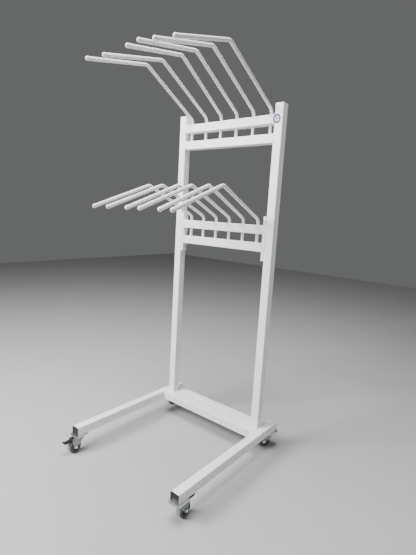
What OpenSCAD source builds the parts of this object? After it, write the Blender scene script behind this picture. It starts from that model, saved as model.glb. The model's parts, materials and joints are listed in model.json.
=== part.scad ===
// Wheeled saddle rack: an upright tube frame on two long feet, with two tiers of
// swinging rod arms and four swivel casters.
// X runs left to right across the rack, -Y is the side the arms point to, Z is up.
// The origin is on the floor, midway between the uprights, under their front faces.

/* [Frame] */
// Side of the square steel tube
tube = 50; // [46:1:54]
// Wall thickness of all the steel tube
wall = 2; // [1.5:0.5:3]
// Outside corner radius of the square tube
corner = 4; // [3.5:0.5:5]
// Distance from the centre of one upright to the centre of the other
upright_pitch = 690; // [680:5:740]
// Height of the uprights' tops above the floor
rack_h = 2000; // [1900:10:2150]
// Height of the feet's undersides above the floor
foot_z = 100; // [100:1:100]
// How far the feet reach forward of the uprights' front faces
foot_front = 735; // [650:5:800]
// How far the feet reach behind the uprights' front faces
foot_rear = 145; // [140:5:200]
// Drop of the middle rail below the tops of the front and rear rails
rail_step = 2; // [0:0.5:4]
// Diameter of the vent holes in the rear rail
vent_d = 10; // [6:1:12]

/* [Arm tiers] */
// Top of the upper tier's top bar
upper_tier_z = 1945; // [1850:5:1950]
// Top of the lower tier's top bar
lower_tier_z = 1352; // [1100:1:1400]
// Clear gap between the two bars of a tier
bar_gap = 50; // [40:1:60]
// Number of arms on each tier
arms_per_tier = 6; // [6:1:6]
// Spacing of the arms on the upper tier
upper_spacing = 114; // [108:1:116]
// Spacing of the arms on the lower tier
lower_spacing = 101; // [95:1:103]
// Rest angles of the upper arms, swung to the right of straight ahead
upper_swing = [14.7, 14.6, 15.9, 13.5, 11.9, 9.8];
// Rest angles of the lower arms, swung to the right of straight ahead
lower_swing = [15.9, 15.6, 16.4, 15.2, 15.6, 13.8];

/* [Lower tier ends] */
// Width of the end posts across the rack
post_w = 20; // [18:1:24]
// Depth of the end posts, front to back
post_d = 40; // [36:1:50]
// How far the end posts stand out above and below the bars
post_out = 50; // [45:1:60]
// Diameter of the access holes in the end posts
access_d = 18; // [16:1:20]
// Thread diameter of the bolts that hold the end posts
bolt_d = 8; // [6:1:8]

/* [Arms] */
// Outside diameter of the arm tube
rod_d = 17; // [16:1:20]
// Wall thickness of the arm tube
rod_wall = 2; // [1.5:0.5:2.5]
// Radial clearance of the arm tube in the bars
rod_clear = 0.08; // [0.05:0.01:0.1]
// Height of the lower bend's corner above the bar
elbow_up = 29; // [28:1:36]
// Angle the tube turns through at the foot of the arm
elbow_a = 74.565; // [74.565:0.001:74.565]
// Angles the upper arms' tubes turn through at the crest; the bends differ a little
upper_crest = [31.387, 32.3878, 31.387, 31.387, 33.1993, 35.092];
// Angle the lower arms' tubes turn through at the crest
lower_crest_a = 31.387; // [31.387:0.001:31.387]
// Sine of the twist to the right that the last upper arm has at its crest
last_twist_sin = 0.07584; // [0:0.07584:0.07584]
// Straight length of the rising stretch, between the two bends
rise_l = 510; // [430:1:530]
// Straight length of the falling stretch, up to the end cap
fall_l = 432; // [360:1:450]
// Bend radius at the foot of the arm, on the tube's centre line
elbow_r = 34; // [30:1:34]
// Bend radius at the top of the arm, on the tube's centre line
crest_r = 60; // [40:1:80]

/* [Casters] */
// Wheel diameter
wheel_d = 75; // [70:1:76]
// Wheel width
wheel_w = 30; // [26:1:32]
// Distance from the swivel axis to the wheel's axle
trail = 35; // [34:1:38]
// Distance from the end of a foot to the swivel axis
stem_in = 30; // [28:1:40]
// Width of the mounting plates across the foot
plate_w = 76; // [70:1:84]
// Length of the mounting plates along the foot
plate_l = 88; // [80:1:92]
// Corner radius of the mounting plates
plate_corner = 22; // [8:1:30]
// Rest directions of the wheels, turned from straight behind the swivel axis:
// front left, front right, rear left, rear right
caster_turn = [180, 0, 160, 132];

/* [Sticker] */
// Diameter of the round sticker
sticker_d = 48; // [40:1:54]
// Height of the sticker's centre
sticker_z = 1920; // [1850:5:1950]

/* [Hidden] */
$fn = 48;
ARM_KEYS = ["u1", "u2", "u3", "u4", "u5", "u6", "l1", "l2", "l3", "l4", "l5", "l6"];
CASTER_KEYS = ["fl", "fr", "rl", "rr"];

paint = "white";
half_in = upright_pitch / 2 - tube / 2;
half_out = upright_pitch / 2 + tube / 2;
foot_x = half_out + tube / 2;
foot_top = foot_z + tube;
flange_t = 3;
plug_in = 20;
rod_y = tube / 2;
upper_x0 = -upper_spacing * (arms_per_tier - 1) / 2;
lower_x0 = -lower_spacing * (arms_per_tier - 1) / 2;
post_x = half_in - post_w / 2;
post_h = 2 * tube + bar_gap + 2 * post_out;
post_z0 = lower_tier_z - 2 * tube - bar_gap - post_out;
bolt_up = post_out / 2;
gap = 0.3;

// Distance from the elbow's corner to the end of its bend
elbow_t = elbow_r * tan(elbow_a / 2);
cap_flange = 3;
cap_r = rod_d / 2 + 0.6;
shank_in = 2 * tube + bar_gap - wall - gap;

// Caster heights and half widths
wheel_r = wheel_d / 2;
axle_r = 4;
run_clear = 0.05;
plate_t = 3;
race_r = 22;
race_z = 91.3;
crown_z = 84;
crown_h = 7;
crown_r = 27;
pin_r = 6;
rivet_r = 9;
rivet_h = 2.7;
leg_t = 3;
leg_in = wheel_w / 2 + 2;
leg_out = leg_in + leg_t;
leg_end_r = 12;
nut_h = 6;
nut_r = 8;
pedal_y = 51;
pedal_z = 81;
pedal_pin_r = 2.5;

function arm_index(k) = search([k], ARM_KEYS)[0] % arms_per_tier;
function arm_is_upper(k) = search([k], ARM_KEYS)[0] < arms_per_tier;
function arm_x(k) = arm_is_upper(k) ? upper_x0 + arm_index(k) * upper_spacing
                                    : lower_x0 + arm_index(k) * lower_spacing;
function arm_z(k) = arm_is_upper(k) ? upper_tier_z : lower_tier_z;
function arm_turn(k) = arm_is_upper(k) ? upper_swing[arm_index(k)] : lower_swing[arm_index(k)];
function arm_crest(k) = arm_is_upper(k) ? upper_crest[arm_index(k)] : lower_crest_a;
function arm_twist(k) = k == "u6" ? asin(last_twist_sin) : 0;

function caster_index(k) = search([k], CASTER_KEYS)[0];
function caster_x(k) = caster_index(k) % 2 == 0 ? -foot_x : foot_x;
function caster_y(k) = caster_index(k) < 2 ? -foot_front + stem_in : foot_rear - stem_in;

// A solid bar along Z with rounded long edges, w by d across, from its lower left corner
module rounded_bar(w, d, h, r) {
    translate([r, 0, 0]) cube([w - 2 * r, d, h]);
    translate([0, r, 0]) cube([w, d - 2 * r, h]);
    for (x = [r, w - r], y = [r, d - r])
        translate([x, y, 0]) cylinder(h = h, r = r);
}

// A hollow tube along Z; cap_t leaves its top end closed by that thickness
module hollow_tube(w, d, h, cap_t = 0) {
    difference() {
        rounded_bar(w, d, h, corner);
        translate([wall, wall, -1])
            rounded_bar(w - 2 * wall, d - 2 * wall, h + (cap_t > 0 ? 1 - cap_t : 2), corner - wall);
    }
}

// A hollow tube along X, from its left end's front lower corner
module tube_x(length)
    rotate([90, 0, 90]) hollow_tube(tube, tube, length);

// A hollow tube along Y, from its front end's left lower corner
module tube_y(length)
    translate([0, length, 0]) rotate([90, 0, 0]) hollow_tube(tube, tube, length);

module foot(side) {
    color(paint)
        translate([side * foot_x - tube / 2, -foot_front + flange_t, foot_z])
            tube_y(foot_front + foot_rear - 2 * flange_t);
}

module rail(y, drop) {
    color(paint) translate([-half_out, y, foot_z - drop]) tube_x(2 * half_out);
}

module middle_rail() {
    color(paint)
        translate([-half_in, 0, foot_z - rail_step]) tube_x(2 * half_in);
}

module rear_rail() {
    color(paint) difference() {
        translate([-half_out, tube, foot_z]) tube_x(2 * half_out);
        for (side = [-1, 1])
            translate([side * (half_out - 19), tube * 1.5, foot_top - 2 * wall])
                cylinder(h = 3 * wall, d = vent_d);
    }
}

// Uprights stand between the front and rear rails; their tops are closed by a welded plate
module upright(side) {
    color(paint) difference() {
        translate([side * upright_pitch / 2 - tube / 2, 0, foot_z])
            hollow_tube(tube, tube, rack_h - foot_z, wall);
        for (z = bolt_heights())
            translate([side * (half_in + wall), rod_y, z])
                rotate([0, 90, 0]) cylinder(h = 3 * wall, d = bolt_d, center = true);
    }
}

function bolt_heights() = [post_z0 + bolt_up, post_z0 + post_h - bolt_up];

// A bar with one through hole for each arm; the lowest wall stays whole when blind
module bar(half_l, z_top, x0, spacing, blind) {
    color(paint) difference() {
        translate([-half_l, 0, z_top - tube]) tube_x(2 * half_l);
        for (i = [0 : arms_per_tier - 1])
            translate([x0 + i * spacing, rod_y, z_top - tube + (blind ? tube / 2 : -1)])
                cylinder(h = tube + 2, d = rod_d + 2 * rod_clear);
    }
}

module upper_bar_top() bar(half_in, upper_tier_z, upper_x0, upper_spacing, false);

module upper_bar_bottom() bar(half_in, upper_tier_z - tube - bar_gap, upper_x0, upper_spacing, true);

module lower_bar_top() bar(half_in - post_w, lower_tier_z, lower_x0, lower_spacing, false);

module lower_bar_bottom()
    bar(half_in - post_w, lower_tier_z - tube - bar_gap, lower_x0, lower_spacing, true);

// End post of the lower tier: access holes in its inner wall, bolt holes in its outer wall
module post(side) {
    color(paint) difference() {
        translate([side * post_x - post_w / 2, 0, post_z0])
            hollow_tube(post_w, post_d, post_h);
        for (z = bolt_heights()) {
            translate([side * (half_in - post_w), rod_y, z])
                rotate([0, 90, 0]) cylinder(h = post_w, d = access_d, center = true);
            translate([side * half_in, rod_y, z])
                rotate([0, 90, 0]) cylinder(h = 3 * wall, d = bolt_d, center = true);
        }
    }
}

// Four identical hexagon bolts from the posts into the uprights
module post_bolts() {
    head_h = 5.3;
    color("dimgray") for (side = [-1, 1], z = bolt_heights())
        translate([side * (half_in - wall), rod_y, z]) rotate([0, side * 90, 0]) {
            translate([0, 0, -head_h]) cylinder(h = head_h, r = 7.5, $fn = 6);
            cylinder(h = 22, d = bolt_d);
        }
}

// Four identical inserts that close the feet: a flange over the tube's end and a sleeve inside
module foot_plugs() {
    inner = tube - 2 * wall;
    color([0.05, 0.05, 0.05]) for (side = [-1, 1], facing = [0, 1])
        translate([side * foot_x, facing ? foot_rear : -foot_front, foot_z + tube / 2])
            rotate([-90, 0, facing * 180]) translate([-tube / 2, -tube / 2, 0]) {
                difference() {
                    rounded_bar(tube, tube, flange_t, corner);
                    translate([7, 7, -1]) rounded_bar(tube - 14, tube - 14, 2, 3);
                }
                difference() {
                    translate([wall, wall, flange_t]) rounded_bar(inner, inner, plug_in, corner - wall);
                    translate([wall + 3, wall + 3, flange_t + 1])
                        rounded_bar(inner - 6, inner - 6, plug_in, 2);
                }
            }
}

// A round sticker across the joint of the top bar and the right upright
module sticker() {
    color("steelblue") translate([half_in + 15, 0, sticker_z])
        rotate([90, 0, 0]) cylinder(h = 0.6, d = sticker_d);
}

// A bend of radius bend_r through angle a, then a straight stretch. Both lie in the XY plane:
// the bend's centre is the origin, and it starts at angle a and ends at angle 0, heading for -Y.
module bend_and_run(r, bend_r, a, run) {
    rotate_extrude(angle = a) translate([bend_r, 0]) circle(r = r);
    translate([bend_r, 0, 0]) rotate([90, 0, 0]) cylinder(h = run, r = r);
}

// Places a shape on an arm's shank axis and swings it to the arm's rest angle
module on_shank(k) {
    translate([arm_x(k), rod_y, arm_z(k)]) rotate([0, 0, arm_turn(k) - 90]) children();
}

// The plane of the arm's elbow: its bend's centre is the origin and the rise heads for -Y
module at_elbow(k) {
    on_shank(k) translate([elbow_r, 0, elbow_up - elbow_t])
        rotate([90, 0, 0]) rotate([0, 0, 180 - elbow_a]) children();
}

// The plane of the arm's crest, twisted about the rise: its bend's centre is the origin
// and the fall heads for -Y
module at_crest(k) {
    at_elbow(k) translate([elbow_r, -rise_l, 0]) rotate([0, -arm_twist(k), 0])
        translate([-crest_r, 0, 0]) rotate([0, 0, -arm_crest(k)]) children();
}

// A length of round bar bent like the arm: the shank, the rise and the fall.
// The same path drawn with a smaller radius is the bore of the tube.
module arm_path(k, r, over) {
    at_elbow(k) {
        rotate([0, 0, elbow_a]) translate([elbow_r, 0, 0]) rotate([-90, 0, 0])
            cylinder(h = shank_in + elbow_up - elbow_t + over, r = r);
        bend_and_run(r, elbow_r, elbow_a, rise_l);
    }
    at_crest(k) bend_and_run(r, crest_r, arm_crest(k), fall_l + over);
}

module arm(k) {
    color(paint) difference() {
        arm_path(k, rod_d / 2, 0);
        arm_path(k, rod_d / 2 - rod_wall, 1);
    }
}

// Domed plastic end cap with a stem inside the tube
module cap(k) {
    stem_l = 16;
    color("whitesmoke") at_crest(k) translate([crest_r, -fall_l, 0]) rotate([90, 0, 0]) {
        translate([0, 0, -stem_l]) cylinder(h = stem_l, r = rod_d / 2 - rod_wall);
        cylinder(h = cap_flange, r = cap_r);
        intersection() {
            translate([0, 0, cap_flange]) sphere(r = cap_r);
            translate([0, 0, cap_flange]) cylinder(h = cap_r, r = cap_r + 1);
        }
    }
}

// Places a caster's shape on its swivel axis, with the floor at zero
module on_stem(k, turned = true) {
    translate([caster_x(k), caster_y(k), 0])
        rotate([0, 0, turned ? caster_turn[caster_index(k)] : 0]) children();
}

// The fixed half of each caster: mounting plate, upper race and riveted king pin
module caster_plates() {
    color("silver") for (k = CASTER_KEYS) on_stem(k, false) {
        translate([-plate_w / 2, -plate_l / 2, foot_z - plate_t])
            rounded_bar(plate_w, plate_l, plate_t, plate_corner);
        translate([0, 0, race_z]) cylinder(h = foot_z - race_z, r = race_r);
        translate([0, 0, crown_z - gap - rivet_h])
            cylinder(h = foot_z - crown_z + gap + rivet_h, r = pin_r);
        translate([0, 0, crown_z - gap - rivet_h]) cylinder(h = rivet_h, r = rivet_r);
    }
}

// One flat leg of the fork, in the plane across the wheel, with a round end at the axle
module fork_leg(braked) {
    outline = braked
        ? [[-22, crown_z], [-22, crown_z + 3], [pedal_y + 5, crown_z + 3], [pedal_y + 6, pedal_z - 4],
           [trail + leg_end_r, wheel_r], [trail - leg_end_r, wheel_r]]
        : [[-22, crown_z], [-22, crown_z + 3], [30, crown_z + 3],
           [trail + leg_end_r, wheel_r], [trail - leg_end_r, wheel_r]];
    rotate([90, 0, 90]) {
        linear_extrude(leg_t) polygon(outline);
        translate([trail, wheel_r, 0]) cylinder(h = leg_t, r = leg_end_r);
    }
}

module fork(k) {
    braked = caster_index(k) < 2;
    color("silver") on_stem(k) {
        difference() {
            union() {
                translate([0, 0, crown_z]) cylinder(h = crown_h, r = crown_r);
                for (x = [-leg_out, leg_in]) translate([x, 0, 0]) fork_leg(braked);
                translate([-leg_out, -22, crown_z]) cube([2 * leg_out, 44, 3]);
            }
            translate([0, 0, crown_z - 1]) cylinder(h = crown_h + 2, r = pin_r + run_clear);
            translate([-leg_out - 1, trail, wheel_r]) rotate([0, 90, 0])
                cylinder(h = 2 * leg_out + 2, r = axle_r);
        }
        if (braked) translate([-leg_out, pedal_y, pedal_z]) rotate([0, 90, 0])
            cylinder(h = 2 * leg_out, r = pedal_pin_r);
    }
}

// Axle bolt with a bright round nut on each side
module axle(k) {
    color("gainsboro") on_stem(k) translate([0, trail, wheel_r]) rotate([0, 90, 0]) {
        cylinder(h = 2 * leg_out, r = axle_r, center = true);
        for (side = [-1, 1])
            translate([0, 0, side * (leg_out + nut_h / 2)])
                cylinder(h = nut_h, r = nut_r, center = true);
    }
}

// Wheel centre: a boss on the axle, a web and a rim under the tyre
module hub(k) {
    rim_r = wheel_r - 9;
    color("dimgray") on_stem(k) translate([0, trail, wheel_r]) rotate([0, 90, 0])
        difference() {
            union() {
                cylinder(h = wheel_w + 3, r = 11, center = true);
                cylinder(h = 8, r = rim_r - 2, center = true);
                difference() {
                    cylinder(h = wheel_w - 3, r = rim_r, center = true);
                    cylinder(h = wheel_w, r = rim_r - 4, center = true);
                }
            }
            cylinder(h = wheel_w + 5, r = axle_r + run_clear, center = true);
        }
}

// Solid tyre with rounded shoulders
module tyre(k) {
    rim_r = wheel_r - 9;
    shoulder = 4;
    color("slategray") on_stem(k) translate([0, trail, wheel_r]) rotate([0, 90, 0])
        difference() {
            union() {
                cylinder(h = wheel_w - 2 * shoulder, r = wheel_r, center = true);
                cylinder(h = wheel_w, r = wheel_r - shoulder, center = true);
                for (side = [-1, 1])
                    translate([0, 0, side * (wheel_w / 2 - shoulder)])
                        rotate_extrude() translate([wheel_r - shoulder, 0]) circle(r = shoulder);
            }
            cylinder(h = wheel_w + 2, r = rim_r, center = true);
        }
}

// Foot pedal that presses on the tyre, hinged on a pin between the fork's legs
module brake(k) {
    barrel_r = 5.5;
    barrel_w = 2 * (leg_in - gap);
    pedal_w = 26;
    color([0.05, 0.05, 0.05]) on_stem(k) translate([0, pedal_y, pedal_z]) difference() {
        union() {
            rotate([0, 90, 0]) cylinder(h = barrel_w, r = barrel_r, center = true);
            translate([-pedal_w / 2, 0, -barrel_r + 1.5]) rotate([-4, 0, 0]) cube([pedal_w, 44, 5]);
            translate([-pedal_w / 2, 42, -4.9]) rotate([18, 0, 0]) cube([pedal_w, 12, 5]);
        }
        rotate([0, 90, 0]) cylinder(h = barrel_w + 2, r = pedal_pin_r + run_clear, center = true);
    }
}

foot(-1);  // left_foot
foot(1);  // right_foot
rail(-tube, 0);  // front_rail
middle_rail();
rear_rail();
upright(-1);  // left_upright
upright(1);  // right_upright
upper_bar_top();
upper_bar_bottom();
lower_bar_top();
lower_bar_bottom();
post(-1);  // left_post
post(1);  // right_post
post_bolts();
foot_plugs();
sticker();
caster_plates();
for (k = ARM_KEYS) {
    arm(k);
    cap(k);
}
for (k = CASTER_KEYS) {
    fork(k);
    axle(k);
    hub(k);
    tyre(k);
}
for (k = ["fl", "fr"])
    brake(k);
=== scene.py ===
# %% [markdown]
# # A wheeled saddle rack
# The rack is a welded frame of square tube on two long feet. Two tiers of bent tube arms stand in
# holes in its cross bars and swing sideways, and four swivel casters carry it. The solid model
# gives every size and every place. This script adds what paint, plastic, plating and rubber look
# like, and the small shapes that catch the light: weld beads, moulded tyres, mould lines and dome nuts.

# %% Load the frame
import json
import math

import bmesh
import bpy
import numpy as np
from mathutils import Matrix, Vector


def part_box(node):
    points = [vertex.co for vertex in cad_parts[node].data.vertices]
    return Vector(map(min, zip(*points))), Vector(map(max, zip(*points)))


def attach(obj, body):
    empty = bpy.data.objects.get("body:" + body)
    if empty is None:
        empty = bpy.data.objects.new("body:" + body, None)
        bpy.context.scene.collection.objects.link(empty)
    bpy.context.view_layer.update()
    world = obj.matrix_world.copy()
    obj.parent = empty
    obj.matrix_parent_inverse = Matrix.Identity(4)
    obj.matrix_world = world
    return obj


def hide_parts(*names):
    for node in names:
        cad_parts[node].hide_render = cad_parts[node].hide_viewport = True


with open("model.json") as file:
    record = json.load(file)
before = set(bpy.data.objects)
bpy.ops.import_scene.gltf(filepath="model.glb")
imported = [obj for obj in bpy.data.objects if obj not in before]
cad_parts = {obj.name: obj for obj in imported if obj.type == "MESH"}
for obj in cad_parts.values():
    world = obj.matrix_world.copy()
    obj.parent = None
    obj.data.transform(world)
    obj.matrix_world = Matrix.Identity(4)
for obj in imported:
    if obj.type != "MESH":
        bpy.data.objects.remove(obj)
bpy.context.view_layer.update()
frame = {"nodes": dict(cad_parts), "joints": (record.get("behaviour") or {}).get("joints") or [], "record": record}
joints = {j["name"]: j for j in frame["joints"]}
bodies = frame["record"]["behaviour"]["bodies"]

# %% [markdown]
# ## Camera, floor and light
# The rack is seen from the front right, from the height of a standing person's eyes, a little
# over two metres away, so the near foot is large and the uprights lean apart. A plain pale floor
# takes the place of a room. One large soft light stands to the front left, where it whitens the
# front faces and leaves the right-hand faces grey; one overhead and a weak one on the right fill in.

# %% Camera
CAMERA_AT = Vector((1.4625, -1.9198, 1.3955))
CAMERA_YAW = 0.6740
CAMERA_PITCH = -0.1586
CAMERA_ROLL = 0.0575
LENS_MM = 25.52


def camera_turn(yaw, pitch, roll):
    """Columns are the camera's right, up and backward directions. Forward is +Y turned left by yaw
    about Z and raised by pitch; right and up are then turned about forward by roll."""
    level = math.cos(pitch)
    forward = Vector((-math.sin(yaw) * level, math.cos(yaw) * level, math.sin(pitch)))
    right = Vector((math.cos(yaw), math.sin(yaw), 0.0))
    up = right.cross(forward)
    turned_right = right * math.cos(roll) + up * math.sin(roll)
    turned_up = up * math.cos(roll) - right * math.sin(roll)
    return Matrix((turned_right, turned_up, -forward)).transposed()


camera_data = bpy.data.cameras.new("camera")
camera_data.lens = LENS_MM
camera_data.sensor_width = 36
camera = bpy.data.objects.new("camera", camera_data)
camera.rotation_mode = "QUATERNION"
camera.location = CAMERA_AT
camera.rotation_quaternion = camera_turn(CAMERA_YAW, CAMERA_PITCH, CAMERA_ROLL).to_quaternion()
bpy.context.scene.collection.objects.link(camera)
bpy.context.scene.camera = camera
print("camera", tuple(round(v, 3) for v in camera.location))

# %% Lights
RACK_MIDDLE = Vector((0.0, -0.3, 1.0))


def soft_light(name, place, side, watts, colour):
    """A square area light of that side, at place, facing the middle of the rack."""
    data = bpy.data.lights.new(name, "AREA")
    data.size = side
    data.energy = watts
    data.color = colour
    lamp = bpy.data.objects.new(name, data)
    lamp.location = place
    lamp.rotation_mode = "QUATERNION"
    lamp.rotation_quaternion = (RACK_MIDDLE - Vector(place)).to_track_quat("-Z", "Y")
    bpy.context.scene.collection.objects.link(lamp)


soft_light("key", (-1.7, -3.2, 3.0), 1.6, 330, (1.0, 0.995, 0.975))
soft_light("overhead", (0.1, -0.9, 4.2), 2.0, 250, (1.0, 1.0, 1.0))
soft_light("fill", (4.0, -0.4, 1.6), 2.5, 28, (0.95, 0.98, 1.0))
world = bpy.data.worlds.new("studio")
world.use_nodes = True
world.node_tree.nodes["Background"].inputs["Color"].default_value = (0.50, 0.51, 0.52, 1)
world.node_tree.nodes["Background"].inputs["Strength"].default_value = 0.27
bpy.context.scene.world = world

# %% [markdown]
# ## Finishes as sums
# A finish is a small formula: a base colour, some noise, a mask where dust lies. Blender draws
# formulas as nodes, which can be wired by hand in its editor. Here a small class wraps a node's
# output, so that a plus or a times sign adds the Math node and the formula can be read as one.


# %% Sums on sockets
class Field:
    """A number, colour or vector that varies over a surface. A sum on fields adds Math nodes."""

    def __init__(self, finish, socket):
        self.finish = finish
        self.socket = socket

    def maths(self, operation, *others):
        return self.finish.node("Math", {"operation": operation}, dict(enumerate((self, *others))))

    def __add__(self, other):
        return self.maths("ADD", other)

    def __sub__(self, other):
        return self.maths("SUBTRACT", other)

    def __rsub__(self, other):
        return self.finish.node("Math", {"operation": "SUBTRACT"}, {0: other, 1: self})

    def __mul__(self, other):
        return self.maths("MULTIPLY", other)

    __radd__ = __add__
    __rmul__ = __mul__


class Finish:
    """One material with a Principled shader, and the ways of adding nodes to it."""

    def __init__(self, name, colour, roughness, metallic=0.0, **constants):
        self.material = bpy.data.materials.new(name)
        self.material.use_nodes = True
        self.tree = self.material.node_tree
        self.shader = self.tree.nodes["Principled BSDF"]
        self.material.diffuse_color = (*colour, 1)
        self.put({"Base Color": (*colour, 1), "Roughness": roughness, "Metallic": metallic, **constants})
        self.place = self.node("TexCoord", {}, {}, "Object")

    def put(self, inputs, shader=None):
        """Sets or links the sockets of a node, by name or by number; the shader's by default."""
        for key, value in inputs.items():
            socket = (shader or self.shader).inputs[key]
            if isinstance(value, Field):
                self.tree.links.new(value.socket, socket)
            else:
                socket.default_value = value

    def node(self, kind, settings, inputs, output=0):
        """Adds a node: its settings first, then its inputs' values or links. Returns one output."""
        made = self.tree.nodes.new("ShaderNode" + kind)
        for key, value in settings.items():
            setattr(made, key, value)
        self.put(inputs, made)
        return Field(self, made.outputs[output])

    def noise(self, per_metre, detail=2.0, rough=0.5, stretch=(1, 1, 1)):
        """Soft random field from 0 to 1, with about that many patches to a metre."""
        seat = self.node("Mapping", {}, {"Vector": self.place, "Scale": stretch})
        return self.node("TexNoise", {}, {"Vector": seat, "Scale": per_metre, "Detail": detail,
                                          "Roughness": rough})

    def cells(self, per_metre, output="Distance"):
        """Voronoi cells: each point's distance from the nearest seed, or the cell's own random colour."""
        return self.node("TexVoronoi", {}, {"Vector": self.place, "Scale": per_metre}, output)

    def step(self, value, low, high):
        """0 below low, 1 above high, and a smooth rise between them. It falls where low is above high."""
        return self.node("MapRange", {"interpolation_type": "SMOOTHSTEP"},
                         {"Value": value, "From Min": low, "From Max": high})

    def blend(self, share, first, second):
        """First colour where share is 0, second where it is 1."""
        pair = [c if isinstance(c, Field) else (*c, 1) for c in (first, second)]
        return self.node("Mix", {"data_type": "RGBA"}, {0: share, 6: pair[0], 7: pair[1]}, 2)

    def along(self, axis):
        """The place's coordinate along X, Y or Z, in metres."""
        return self.node("SeparateXYZ", {}, {0: self.place}, axis)

    def grain(self, height, depth):
        """Lets a height field, from 0 to 1, stand up to that depth in metres from the surface."""
        self.put({"Normal": self.node("Bump", {}, {"Height": height, "Distance": depth}, "Normal")})


print("node classes ready")

# %% [markdown]
# ## White powder coat
# The frame and arms are powder coated: plastic powder baked to a hard skin, a little glossy, with
# the fine dimples of orange peel. The powder draws back from sharp edges, so they look thinner and
# greyer, and they chip first. A box formula finds the edges of a square tube: a point is on an edge
# when it is near the tube's outer faces in two directions at once. Feet and rails gather dust.

# %% Powder coat
PAINT = (0.84, 0.865, 0.835)
THIN_PAINT = (0.60, 0.62, 0.61)
STEEL_CHIP = (0.16, 0.155, 0.15)
DUST = (0.38, 0.36, 0.33)
RIM = 0.0035


def powder_coat(name, peel_depth=0.00004):
    """White paint with orange peel, faint clouds of tone, and dust that thins out above the floor."""
    paint = Finish(name, PAINT, 0.36, **{"Specular IOR Level": 0.5, "Coat Roughness": 0.2})
    clouds = paint.noise(9, 4, 0.6)
    tone = paint.blend(paint.step(clouds, 0.25, 0.8) * 0.6, PAINT, (0.79, 0.815, 0.795))
    low = paint.step(paint.along("Z"), 0.30, 0.09)
    dusty = low * paint.step(paint.noise(45, 5, 0.65), 0.42, 0.75) * 0.35
    paint.colour = paint.blend(dusty, tone, DUST)
    paint.put({"Roughness": 0.30 + 0.16 * clouds + 0.25 * dusty})
    peel = paint.noise(420, 2, 0.5) * 0.8 + paint.noise(1600, 1, 0.5) * 0.2
    paint.grain(peel, peel_depth)
    return paint


def tube_paint(node):
    """Powder coat for one square tube: thin along its long edges, with a few chips down to the steel.
    A coordinate scores 1 within RIM of either outer face, and an edge is where two scores meet."""
    paint = powder_coat("paint_" + node)
    low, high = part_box(node)
    scores = []
    for axis, a, b in zip("XYZ", low, high):
        off = paint.node("Math", {"operation": "ABSOLUTE"}, {0: paint.along(axis) - (a + b) / 2})
        scores.append(paint.step(off, (b - a) / 2 - RIM, (b - a) / 2 - RIM / 4))
    x, y, z = scores
    edge = x * y + y * z + z * x
    thin = edge * paint.step(paint.noise(120, 3, 0.6), 0.25, 0.7) * 0.55
    chip = edge * paint.step(paint.noise(300, 2, 0.5), 0.735, 0.76)
    worn = paint.blend(thin, paint.colour, THIN_PAINT)
    paint.put({"Base Color": paint.blend(chip, worn, STEEL_CHIP)})
    return paint.material


def arm_paint():
    """Powder coat for the arms: rubbed to grey in a ragged band just above the bars that hold them."""
    paint = powder_coat("paint_arms", 0.000012)
    height = paint.along("Z")
    rubbed = 0
    for node in ("upper_bar_top", "lower_bar_top"):
        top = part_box(node)[1].z
        below = paint.step(height, top + 0.009, top + 0.001)
        rubbed = rubbed + below * paint.step(height, top - 0.06, top)
    ragged = rubbed * paint.step(paint.noise(260, 3, 0.6), 0.35, 0.6) * 0.6
    paint.put({"Base Color": paint.blend(ragged, paint.colour, (0.42, 0.42, 0.41))})
    return paint.material


TUBES = ["left_foot", "right_foot", "front_rail", "middle_rail", "rear_rail", "left_upright",
         "right_upright", "upper_bar_top", "upper_bar_bottom", "lower_bar_top", "lower_bar_bottom",
         "left_post", "right_post"]


def cover(node, material):
    """Gives a node of the solid model this material and no other."""
    slots = frame["nodes"][node].data.materials
    slots.clear()
    slots.append(material)


for node in TUBES:
    cover(node, tube_paint(node))
arms = arm_paint()
for node in (n for n in frame["nodes"] if n.startswith("arm_")):
    cover(node, arms)
print("painted", len(TUBES), "tubes and the arms")

# %% [markdown]
# ## Plastic, plating and rubber
# Black moulded plastic has a fine spark-eroded grain. Bright zinc shows soft cloudy crystals and
# faint rolling lines; the caster forks take a darker copy of it, a painted dark reflection and not a
# different metal. The wheel centres are dark grey plastic, the tyres are dark rubber whose
# tread has picked up pale dust, and the caps on the arms are smooth white plastic.


# %% Plastics
def moulded(name, colour, scuffed, roughness, depth):
    """Moulded plastic: fine pitted grain, and slow changes of gloss where hands and feet have been."""
    plastic = Finish(name, colour, roughness, **{"Specular IOR Level": 0.35})
    wear = plastic.step(plastic.noise(60, 5, 0.65), 0.48, 0.75)
    plastic.put({"Base Color": plastic.blend(wear * 0.5, colour, scuffed),
                 "Roughness": roughness + 0.18 * wear})
    plastic.grain(plastic.cells(2600) * 0.7 + plastic.noise(900) * 0.3, depth)
    return plastic.material


black_plastic = moulded("black_plastic", (0.010, 0.010, 0.010), (0.028, 0.027, 0.026), 0.45, 0.00005)
white_plastic = moulded("white_plastic", (0.85, 0.86, 0.84), (0.79, 0.79, 0.77), 0.28, 0.00002)
wheel_plastic = moulded("wheel_plastic", (0.12, 0.135, 0.125), (0.22, 0.22, 0.205), 0.40, 0.00005)
cover("foot_plugs", black_plastic)
for node in (n for n in frame["nodes"] if n.startswith("cap_")):
    cover(node, white_plastic)
for node in (n for n in frame["nodes"] if n.startswith(("brake_", "hub_"))):
    cover(node, black_plastic if node.startswith("brake_") else wheel_plastic)
print("plastics ready")


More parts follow.
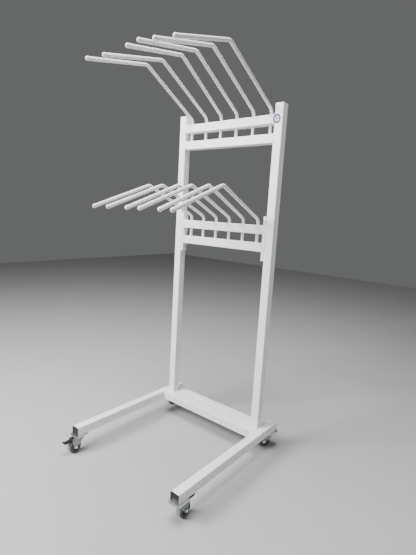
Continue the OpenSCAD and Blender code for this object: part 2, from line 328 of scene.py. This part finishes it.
# %% Plating
def plated(name, colour, roughness, crystals):
    """Zinc or chrome plate: cloudy crystals, rolling lines drawn out along Y, dull specks of corrosion."""
    metal = Finish(name, colour, roughness, 1.0)
    dull = metal.step(metal.noise(70, 5, 0.7), 0.55, 0.8)
    flake = metal.node("SeparateColor", {}, {0: metal.cells(crystals, "Color")}, "Red")
    lines = metal.noise(700, 2, 0.5, (1, 0.03, 1))
    shade = metal.blend(flake * 0.35, colour, tuple(c * 0.72 for c in colour))
    metal.put({"Base Color": metal.blend(dull * 0.7, shade, (0.42, 0.41, 0.39)),
               "Roughness": roughness + 0.08 * flake + 0.30 * dull,
               "Metallic": 1.0 - 0.45 * dull})
    metal.grain(lines * 0.6 + flake * 0.4, 0.00006)
    return metal.material


zinc = plated("zinc", (0.80, 0.83, 0.83), 0.30, 260)
# The forks are the same zinc as the plates, painted darker to stand in for the dark surroundings they reflect: a
# painted reflection.
fork_zinc_painted_dark_reflection = plated("fork_zinc_painted_dark_reflection", (0.30, 0.32, 0.31), 0.26, 260)
bright = plated("bright_plate", (0.93, 0.94, 0.94), 0.24, 500)
dark_steel = plated("dark_steel", (0.15, 0.15, 0.15), 0.42, 500)
cover("caster_plates", zinc)
cover("post_bolts", dark_steel)
for node in (n for n in frame["nodes"] if n.startswith(("fork_", "axle_"))):
    cover(node, fork_zinc_painted_dark_reflection if node.startswith("fork_") else bright)
print("plating ready")


# %% Rubber
def rubber():
    """Dark rubber: smooth flanks, and pale dust wherever the piece's own tread mark is near 1."""
    tyre = Finish("tyre_rubber", (0.075, 0.08, 0.072), 0.55)
    tread = tyre.node("Attribute", {"attribute_name": "tread"}, {}, "Fac")
    dust = tyre.step(tread + 0.5 * tyre.noise(130, 5, 0.65), 0.65, 1.25)
    scuff = tyre.step(tyre.noise(90, 4, 0.6), 0.5, 0.8) * 0.35
    clean = tyre.blend(scuff, (0.075, 0.08, 0.072), (0.16, 0.16, 0.15))
    tyre.put({"Base Color": tyre.blend(dust * 0.85, clean, (0.33, 0.325, 0.28)),
              "Roughness": 0.45 + 0.4 * dust})
    tyre.grain(tyre.noise(1500, 3, 0.6), 0.00005)
    return tyre.material


tyre_rubber = rubber()
print("rubber ready")

# %% [markdown]
# ## The sticker
# A round vinyl sticker sits across the joint of the top bar and the right upright: a broad blue
# ring round a white middle, with a plain blue dot. Its pattern is a formula of the distance from
# its centre, which comes from the solid sticker's own box, so no drawing is needed.


# %% Sticker
def sticker_print():
    """Blue from 0.60 to 0.97 of the radius, and within 0.22 of it; white between and at the rim."""
    vinyl = Finish("sticker_vinyl", (0.2, 0.3, 0.55), 0.5, **{"Specular IOR Level": 0.2})
    low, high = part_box("sticker")
    middle, radius = (low + high) / 2, (high.x - low.x) / 2
    offset = vinyl.node("VectorMath", {"operation": "SUBTRACT"},
                        {0: vinyl.place, 1: (middle.x, low.y, middle.z)})
    share = vinyl.node("VectorMath", {"operation": "LENGTH"}, {0: offset}, "Value") * (1 / radius)
    dot = vinyl.step(share, 0.24, 0.21)
    ring = vinyl.step(share, 0.59, 0.62) * vinyl.step(share, 0.98, 0.96)
    ink = vinyl.blend(vinyl.noise(180, 3, 0.5) * 0.3, (0.035, 0.045, 0.19), (0.07, 0.09, 0.27))
    vinyl.put({"Base Color": vinyl.blend(dot + ring, (0.84, 0.85, 0.86), ink),
               "Roughness": 0.48 + 0.15 * vinyl.noise(50, 4, 0.6)})
    vinyl.grain(vinyl.noise(220, 2, 0.5), 0.00004)
    return vinyl.material


cover("sticker", sticker_print())
print("sticker ready")

# %% [markdown]
# ## Surfaces from arrays
# Every new shape is a grid of points that a formula gives: a ring of points carried along a path,
# or a profile turned round an axis. Modelling by hand would also do, but a formula keeps each piece
# on the solid's own sizes. The helpers below turn grids into one mesh, with the points that
# coincide merged, so that ends drawn to a point close, and the faces turned outwards.


# %% Grids into a piece
def grid_faces(rows, cols, round_rows, round_cols):
    """Quads between the neighbouring points of a grid; a round side also joins its last to its first."""
    i = np.arange(rows if round_rows else rows - 1)
    j = np.arange(cols if round_cols else cols - 1)
    i, j = np.meshgrid(i, j, indexing="ij")
    i2, j2 = (i + 1) % rows, (j + 1) % cols
    return np.stack([i * cols + j, i * cols + j2, i2 * cols + j2, i2 * cols + j], -1).reshape(-1, 4)


def new_piece(name, grids, body, material, round_rows=False, sharp=35):
    """One object from grids of shape (..., rows, cols, 3) whose columns are closed rings. It rides on a
    body and takes a slot's finish. Edges over `sharp` degrees stay crisp."""
    grids = np.asarray(grids, float)
    rows, cols = grids.shape[-3:-1]
    copies = grids.reshape(-1, rows, cols, 3)
    faces = grid_faces(rows, cols, round_rows, True)
    shifts = np.arange(len(copies)) * rows * cols
    mesh = bpy.data.meshes.new(name)
    mesh.from_pydata(copies.reshape(-1, 3), [], (faces[None] + shifts[:, None, None]).reshape(-1, 4))
    work = bmesh.new()
    work.from_mesh(mesh)
    bmesh.ops.remove_doubles(work, verts=work.verts, dist=1e-6)
    bmesh.ops.recalc_face_normals(work, faces=work.faces)
    work.to_mesh(mesh)
    work.free()
    mesh.shade_smooth()
    mesh.set_sharp_from_angle(angle=math.radians(sharp))
    mesh.materials.append(material)
    piece = bpy.data.objects.new(name, mesh)
    bpy.context.scene.collection.objects.link(piece)
    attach(piece, body)
    return piece


print("piece helpers ready")

# %% [markdown]
# ## Weld beads
# The tubes meet at fillet welds, short rolls of rippled metal in the corners, painted over with
# the rest. Where two faces are flush the welder has ground the bead away. Each bead is a round
# section carried along the corner's line. Its radius swells and shrinks with the ripples and
# falls to nothing at both ends. Half of it is buried in the tubes, as a real weld is.

# %% Corner lines
left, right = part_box("left_upright"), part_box("right_upright")
front, rear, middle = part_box("front_rail"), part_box("rear_rail"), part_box("middle_rail")
INSET = 0.004
lines = []
for side, (low, high) in ((-1, left), (1, right)):
    inner, outer = (high.x, low.x) if side < 0 else (low.x, high.x)
    foot_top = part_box("right_foot")[1].z
    for y, z0, z1 in ((front[0].y, front[0].z, front[1].z), (rear[1].y, rear[0].z, rear[1].z)):
        lines.append(((outer, y, z0 + INSET), (outer, y, z1 - INSET)))
    lines.append(((outer, low.y + INSET, foot_top), (outer, high.y - INSET, foot_top)))
    lines.append(((inner, low.y + INSET, middle[1].z), (inner, high.y - INSET, middle[1].z)))
    for y, rail in ((low.y, front), (high.y, rear)):
        lines.append(((low.x + INSET, y, rail[1].z), (high.x - INSET, y, rail[1].z)))
    for bar in ("upper_bar_top", "upper_bar_bottom", "lower_bar_top", "lower_bar_bottom"):
        a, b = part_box(bar)
        x = a.x if side < 0 else b.x
        depth = b.y if bar.startswith("upper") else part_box("left_post")[1].y
        for z in (a.z, b.z):
            lines.append(((x, a.y + INSET, z), (x, depth - INSET, z)))
starts, ends = (np.array(c) for c in zip(*lines))
print("corner lines", len(lines))

# %% Beads
BEAD_R = 0.0030
RIPPLE = 0.0022


def beads(starts, ends, stations=96, around=12):
    """Rings across each line. With s the distance along it, the radius is BEAD_R times a round-ended
    swell, the square root of 1 - u^6 where u runs from -1 to 1, times 1 + 0.07 sin(2 pi s / RIPPLE)."""
    run = ends - starts
    length = np.linalg.norm(run, axis=1)[:, None]
    u = np.linspace(-1, 1, stations)[None]
    s = (u + 1) / 2 * length
    radius = BEAD_R * np.sqrt(1 - u ** 6) * (1 + 0.07 * np.sin(2 * math.pi * s / RIPPLE))
    forward = run / length
    side = np.where(np.abs(forward[:, 2:]) > 0.5, [[1.0, 0, 0]], [[0, 0, 1.0]])
    across = np.cross(forward, side)
    turn = np.linspace(0, 2 * math.pi, around, endpoint=False)[:, None]
    ring = np.cos(turn) * side[:, None, None] + np.sin(turn) * across[:, None, None]
    centre = starts[:, None] + forward[:, None] * s[..., None]
    return centre[:, :, None] + radius[..., None, None] * ring


bead_paint = powder_coat("paint_welds")
bead_paint.put({"Base Color": bead_paint.colour})
welds = new_piece("weld_beads", beads(starts, ends), "frame", bead_paint.material, sharp=180)
print("weld beads", len(welds.data.polygons), "faces")

# %% [markdown]
# ## Tyres
# A caster's tyre is moulded round the wheel centre: a slightly crowned tread, rounded shoulders
# and a thin parting line where the mould's halves met. The solid has only a plain rounded ring, so
# each is replaced by a turned profile. Its points carry a mark that is 1 on the tread and 0 on
# the flanks, which tells the rubber where the dust is.


# %% Tyre profile
CROWN = 0.0006
SHOULDER = 0.0045
PARTING_LINE = 0.00035
PARTING_HALF = 0.0006
FLANK_HOLLOW = 0.0008


def tyre_profile(radius, half_width, bore):
    """Distances (across, out) round a section, mirrored about its middle. The tread falls by CROWN
    times u^2 on its way to the shoulder, with the parting line standing up at u = 0. The shoulder is
    a quarter circle, and the flank sinks by FLANK_HOLLOW sin^2 on its way in to the bore."""
    flat = half_width - SHOULDER
    across = np.linspace(0, flat, 9)
    tread = radius - CROWN * (across / flat) ** 2
    tread[0] += PARTING_LINE
    across[1] = PARTING_HALF
    turn = np.linspace(0, math.pi / 2, 9)[1:]
    round_x = flat + SHOULDER * np.sin(turn)
    round_r = radius - CROWN - SHOULDER * (1 - np.cos(turn))
    inner = np.linspace(0, 1, 7)[1:]
    flank_r = round_r[-1] + (bore - round_r[-1]) * inner
    flank_x = half_width - FLANK_HOLLOW * np.sin(math.pi * inner) ** 2
    x = np.concatenate([across, round_x, flank_x])
    r = np.concatenate([tread, round_r, flank_r])
    return np.concatenate([x, -x[:0:-1]]), np.concatenate([r, r[:0:-1]])


def wheel_seat(key):
    """A wheel's centre and the direction of its axle, from its own rolling joint and tyre."""
    low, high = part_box("tyre_" + key)
    axis = np.array(joints["roll_" + key]["axis"], float)
    return np.array((low + high) / 2), axis / np.linalg.norm(axis)


def turned(x, r, centre, axis, around=96):
    """The profile carried round the axle: centre + x times the axle + r times a turning spoke."""
    up = np.array([0, 0, 1.0])
    level = np.cross(up, axis)
    turn = np.linspace(0, 2 * math.pi, around, endpoint=False)[:, None]
    spoke = np.cos(turn) * up + np.sin(turn) * level
    return centre + x[None, :, None] * axis + r[None, :, None] * spoke[:, None]


# %% Tyres in place
CASTERS = [b[len("wheel_"):] for b in bodies if b.startswith("wheel_")]
TYRE_WALL = 0.009
TYRE_HALF = 0.015
TREAD_EDGE = 0.0045
TREAD_FADE = 0.0036
for key in CASTERS:
    centre, axis = wheel_seat(key)
    low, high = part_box("tyre_" + key)
    radius = (high.z - low.z) / 2
    profile = tyre_profile(radius, TYRE_HALF, radius - TYRE_WALL)
    tyre = new_piece("tyre_moulded_" + key, turned(*profile, centre, axis), "wheel_" + key,
                     tyre_rubber, round_rows=True, sharp=50)
    points = np.empty(len(tyre.data.vertices) * 3)
    tyre.data.vertices.foreach_get("co", points)
    offset = points.reshape(-1, 3) - centre
    across = offset @ axis
    out = np.linalg.norm(offset - across[:, None] * axis, axis=1)
    layer = tyre.data.attributes.new("tread", "FLOAT", "POINT")
    mark = np.clip((out - radius + TREAD_EDGE) / TREAD_FADE, 0, 1)
    layer.data.foreach_set("value", mark.astype(np.float32))
    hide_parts("tyre_" + key)
print("tyres", CASTERS)

# %% [markdown]
# ## Dome nuts
# Each axle ends in two bright dome nuts. The solid has plain round nuts, so a shallow dome is
# turned on the outer face of each. It is a grid like the tyres, whose first ring has shrunk to a
# point at the crown, and its last ring to a point inside the nut.


# %% Domes
DOME_HIGH = 0.0026
DOME_R = 0.0076


def dome(face, outward, around=40):
    """A cap on a point of the axle: out DOME_HIGH cos(t) and across DOME_R sin(t), t from 0 to a
    quarter turn, and then a flat disc back to the axle, buried just inside the nut."""
    t = np.linspace(0, math.pi / 2, 10)
    x = np.append(DOME_HIGH * np.cos(t), -0.0003)
    r = np.append(DOME_R * np.sin(t), 0.0)
    return turned(x, r, face, outward, around).transpose(1, 0, 2)


for key in CASTERS:
    centre, axis = wheel_seat(key)
    nuts = np.array([v.co for v in frame["nodes"]["axle_" + key].data.vertices])
    reach = np.abs((nuts - centre) @ axis).max()
    pair = [dome(centre + side * reach * axis, side * axis) for side in (-1, 1)]
    new_piece("dome_nuts_" + key, pair, "caster_" + key, bright)
print("dome nuts", 2 * len(CASTERS), "reach", round(reach, 4))

# %% [markdown]
# ## Floor
# The rack stands on a wide plain floor in pale grey, matt, with a very faint mottle so that the
# soft shadows read. It is scenery and not part of the rack.

# %% Floor
FLOOR_HALF = 8.0
floor_mesh = bpy.data.meshes.new("floor")
edge = np.array([[-1, -1, 0], [1, -1, 0], [1, 1, 0], [-1, 1, 0]]) * FLOOR_HALF
floor_mesh.from_pydata(edge, [], [[0, 1, 2, 3]])
ground = Finish("floor_matt", (0.38, 0.385, 0.39), 0.75)
mottle = ground.noise(3, 4, 0.6)
ground.put({"Base Color": ground.blend(mottle, (0.36, 0.365, 0.37), (0.41, 0.41, 0.415))})
floor_mesh.materials.append(ground.material)
floor = bpy.data.objects.new("floor", floor_mesh)
bpy.context.scene.collection.objects.link(floor)
print("floor", FLOOR_HALF * 2, "m wide")
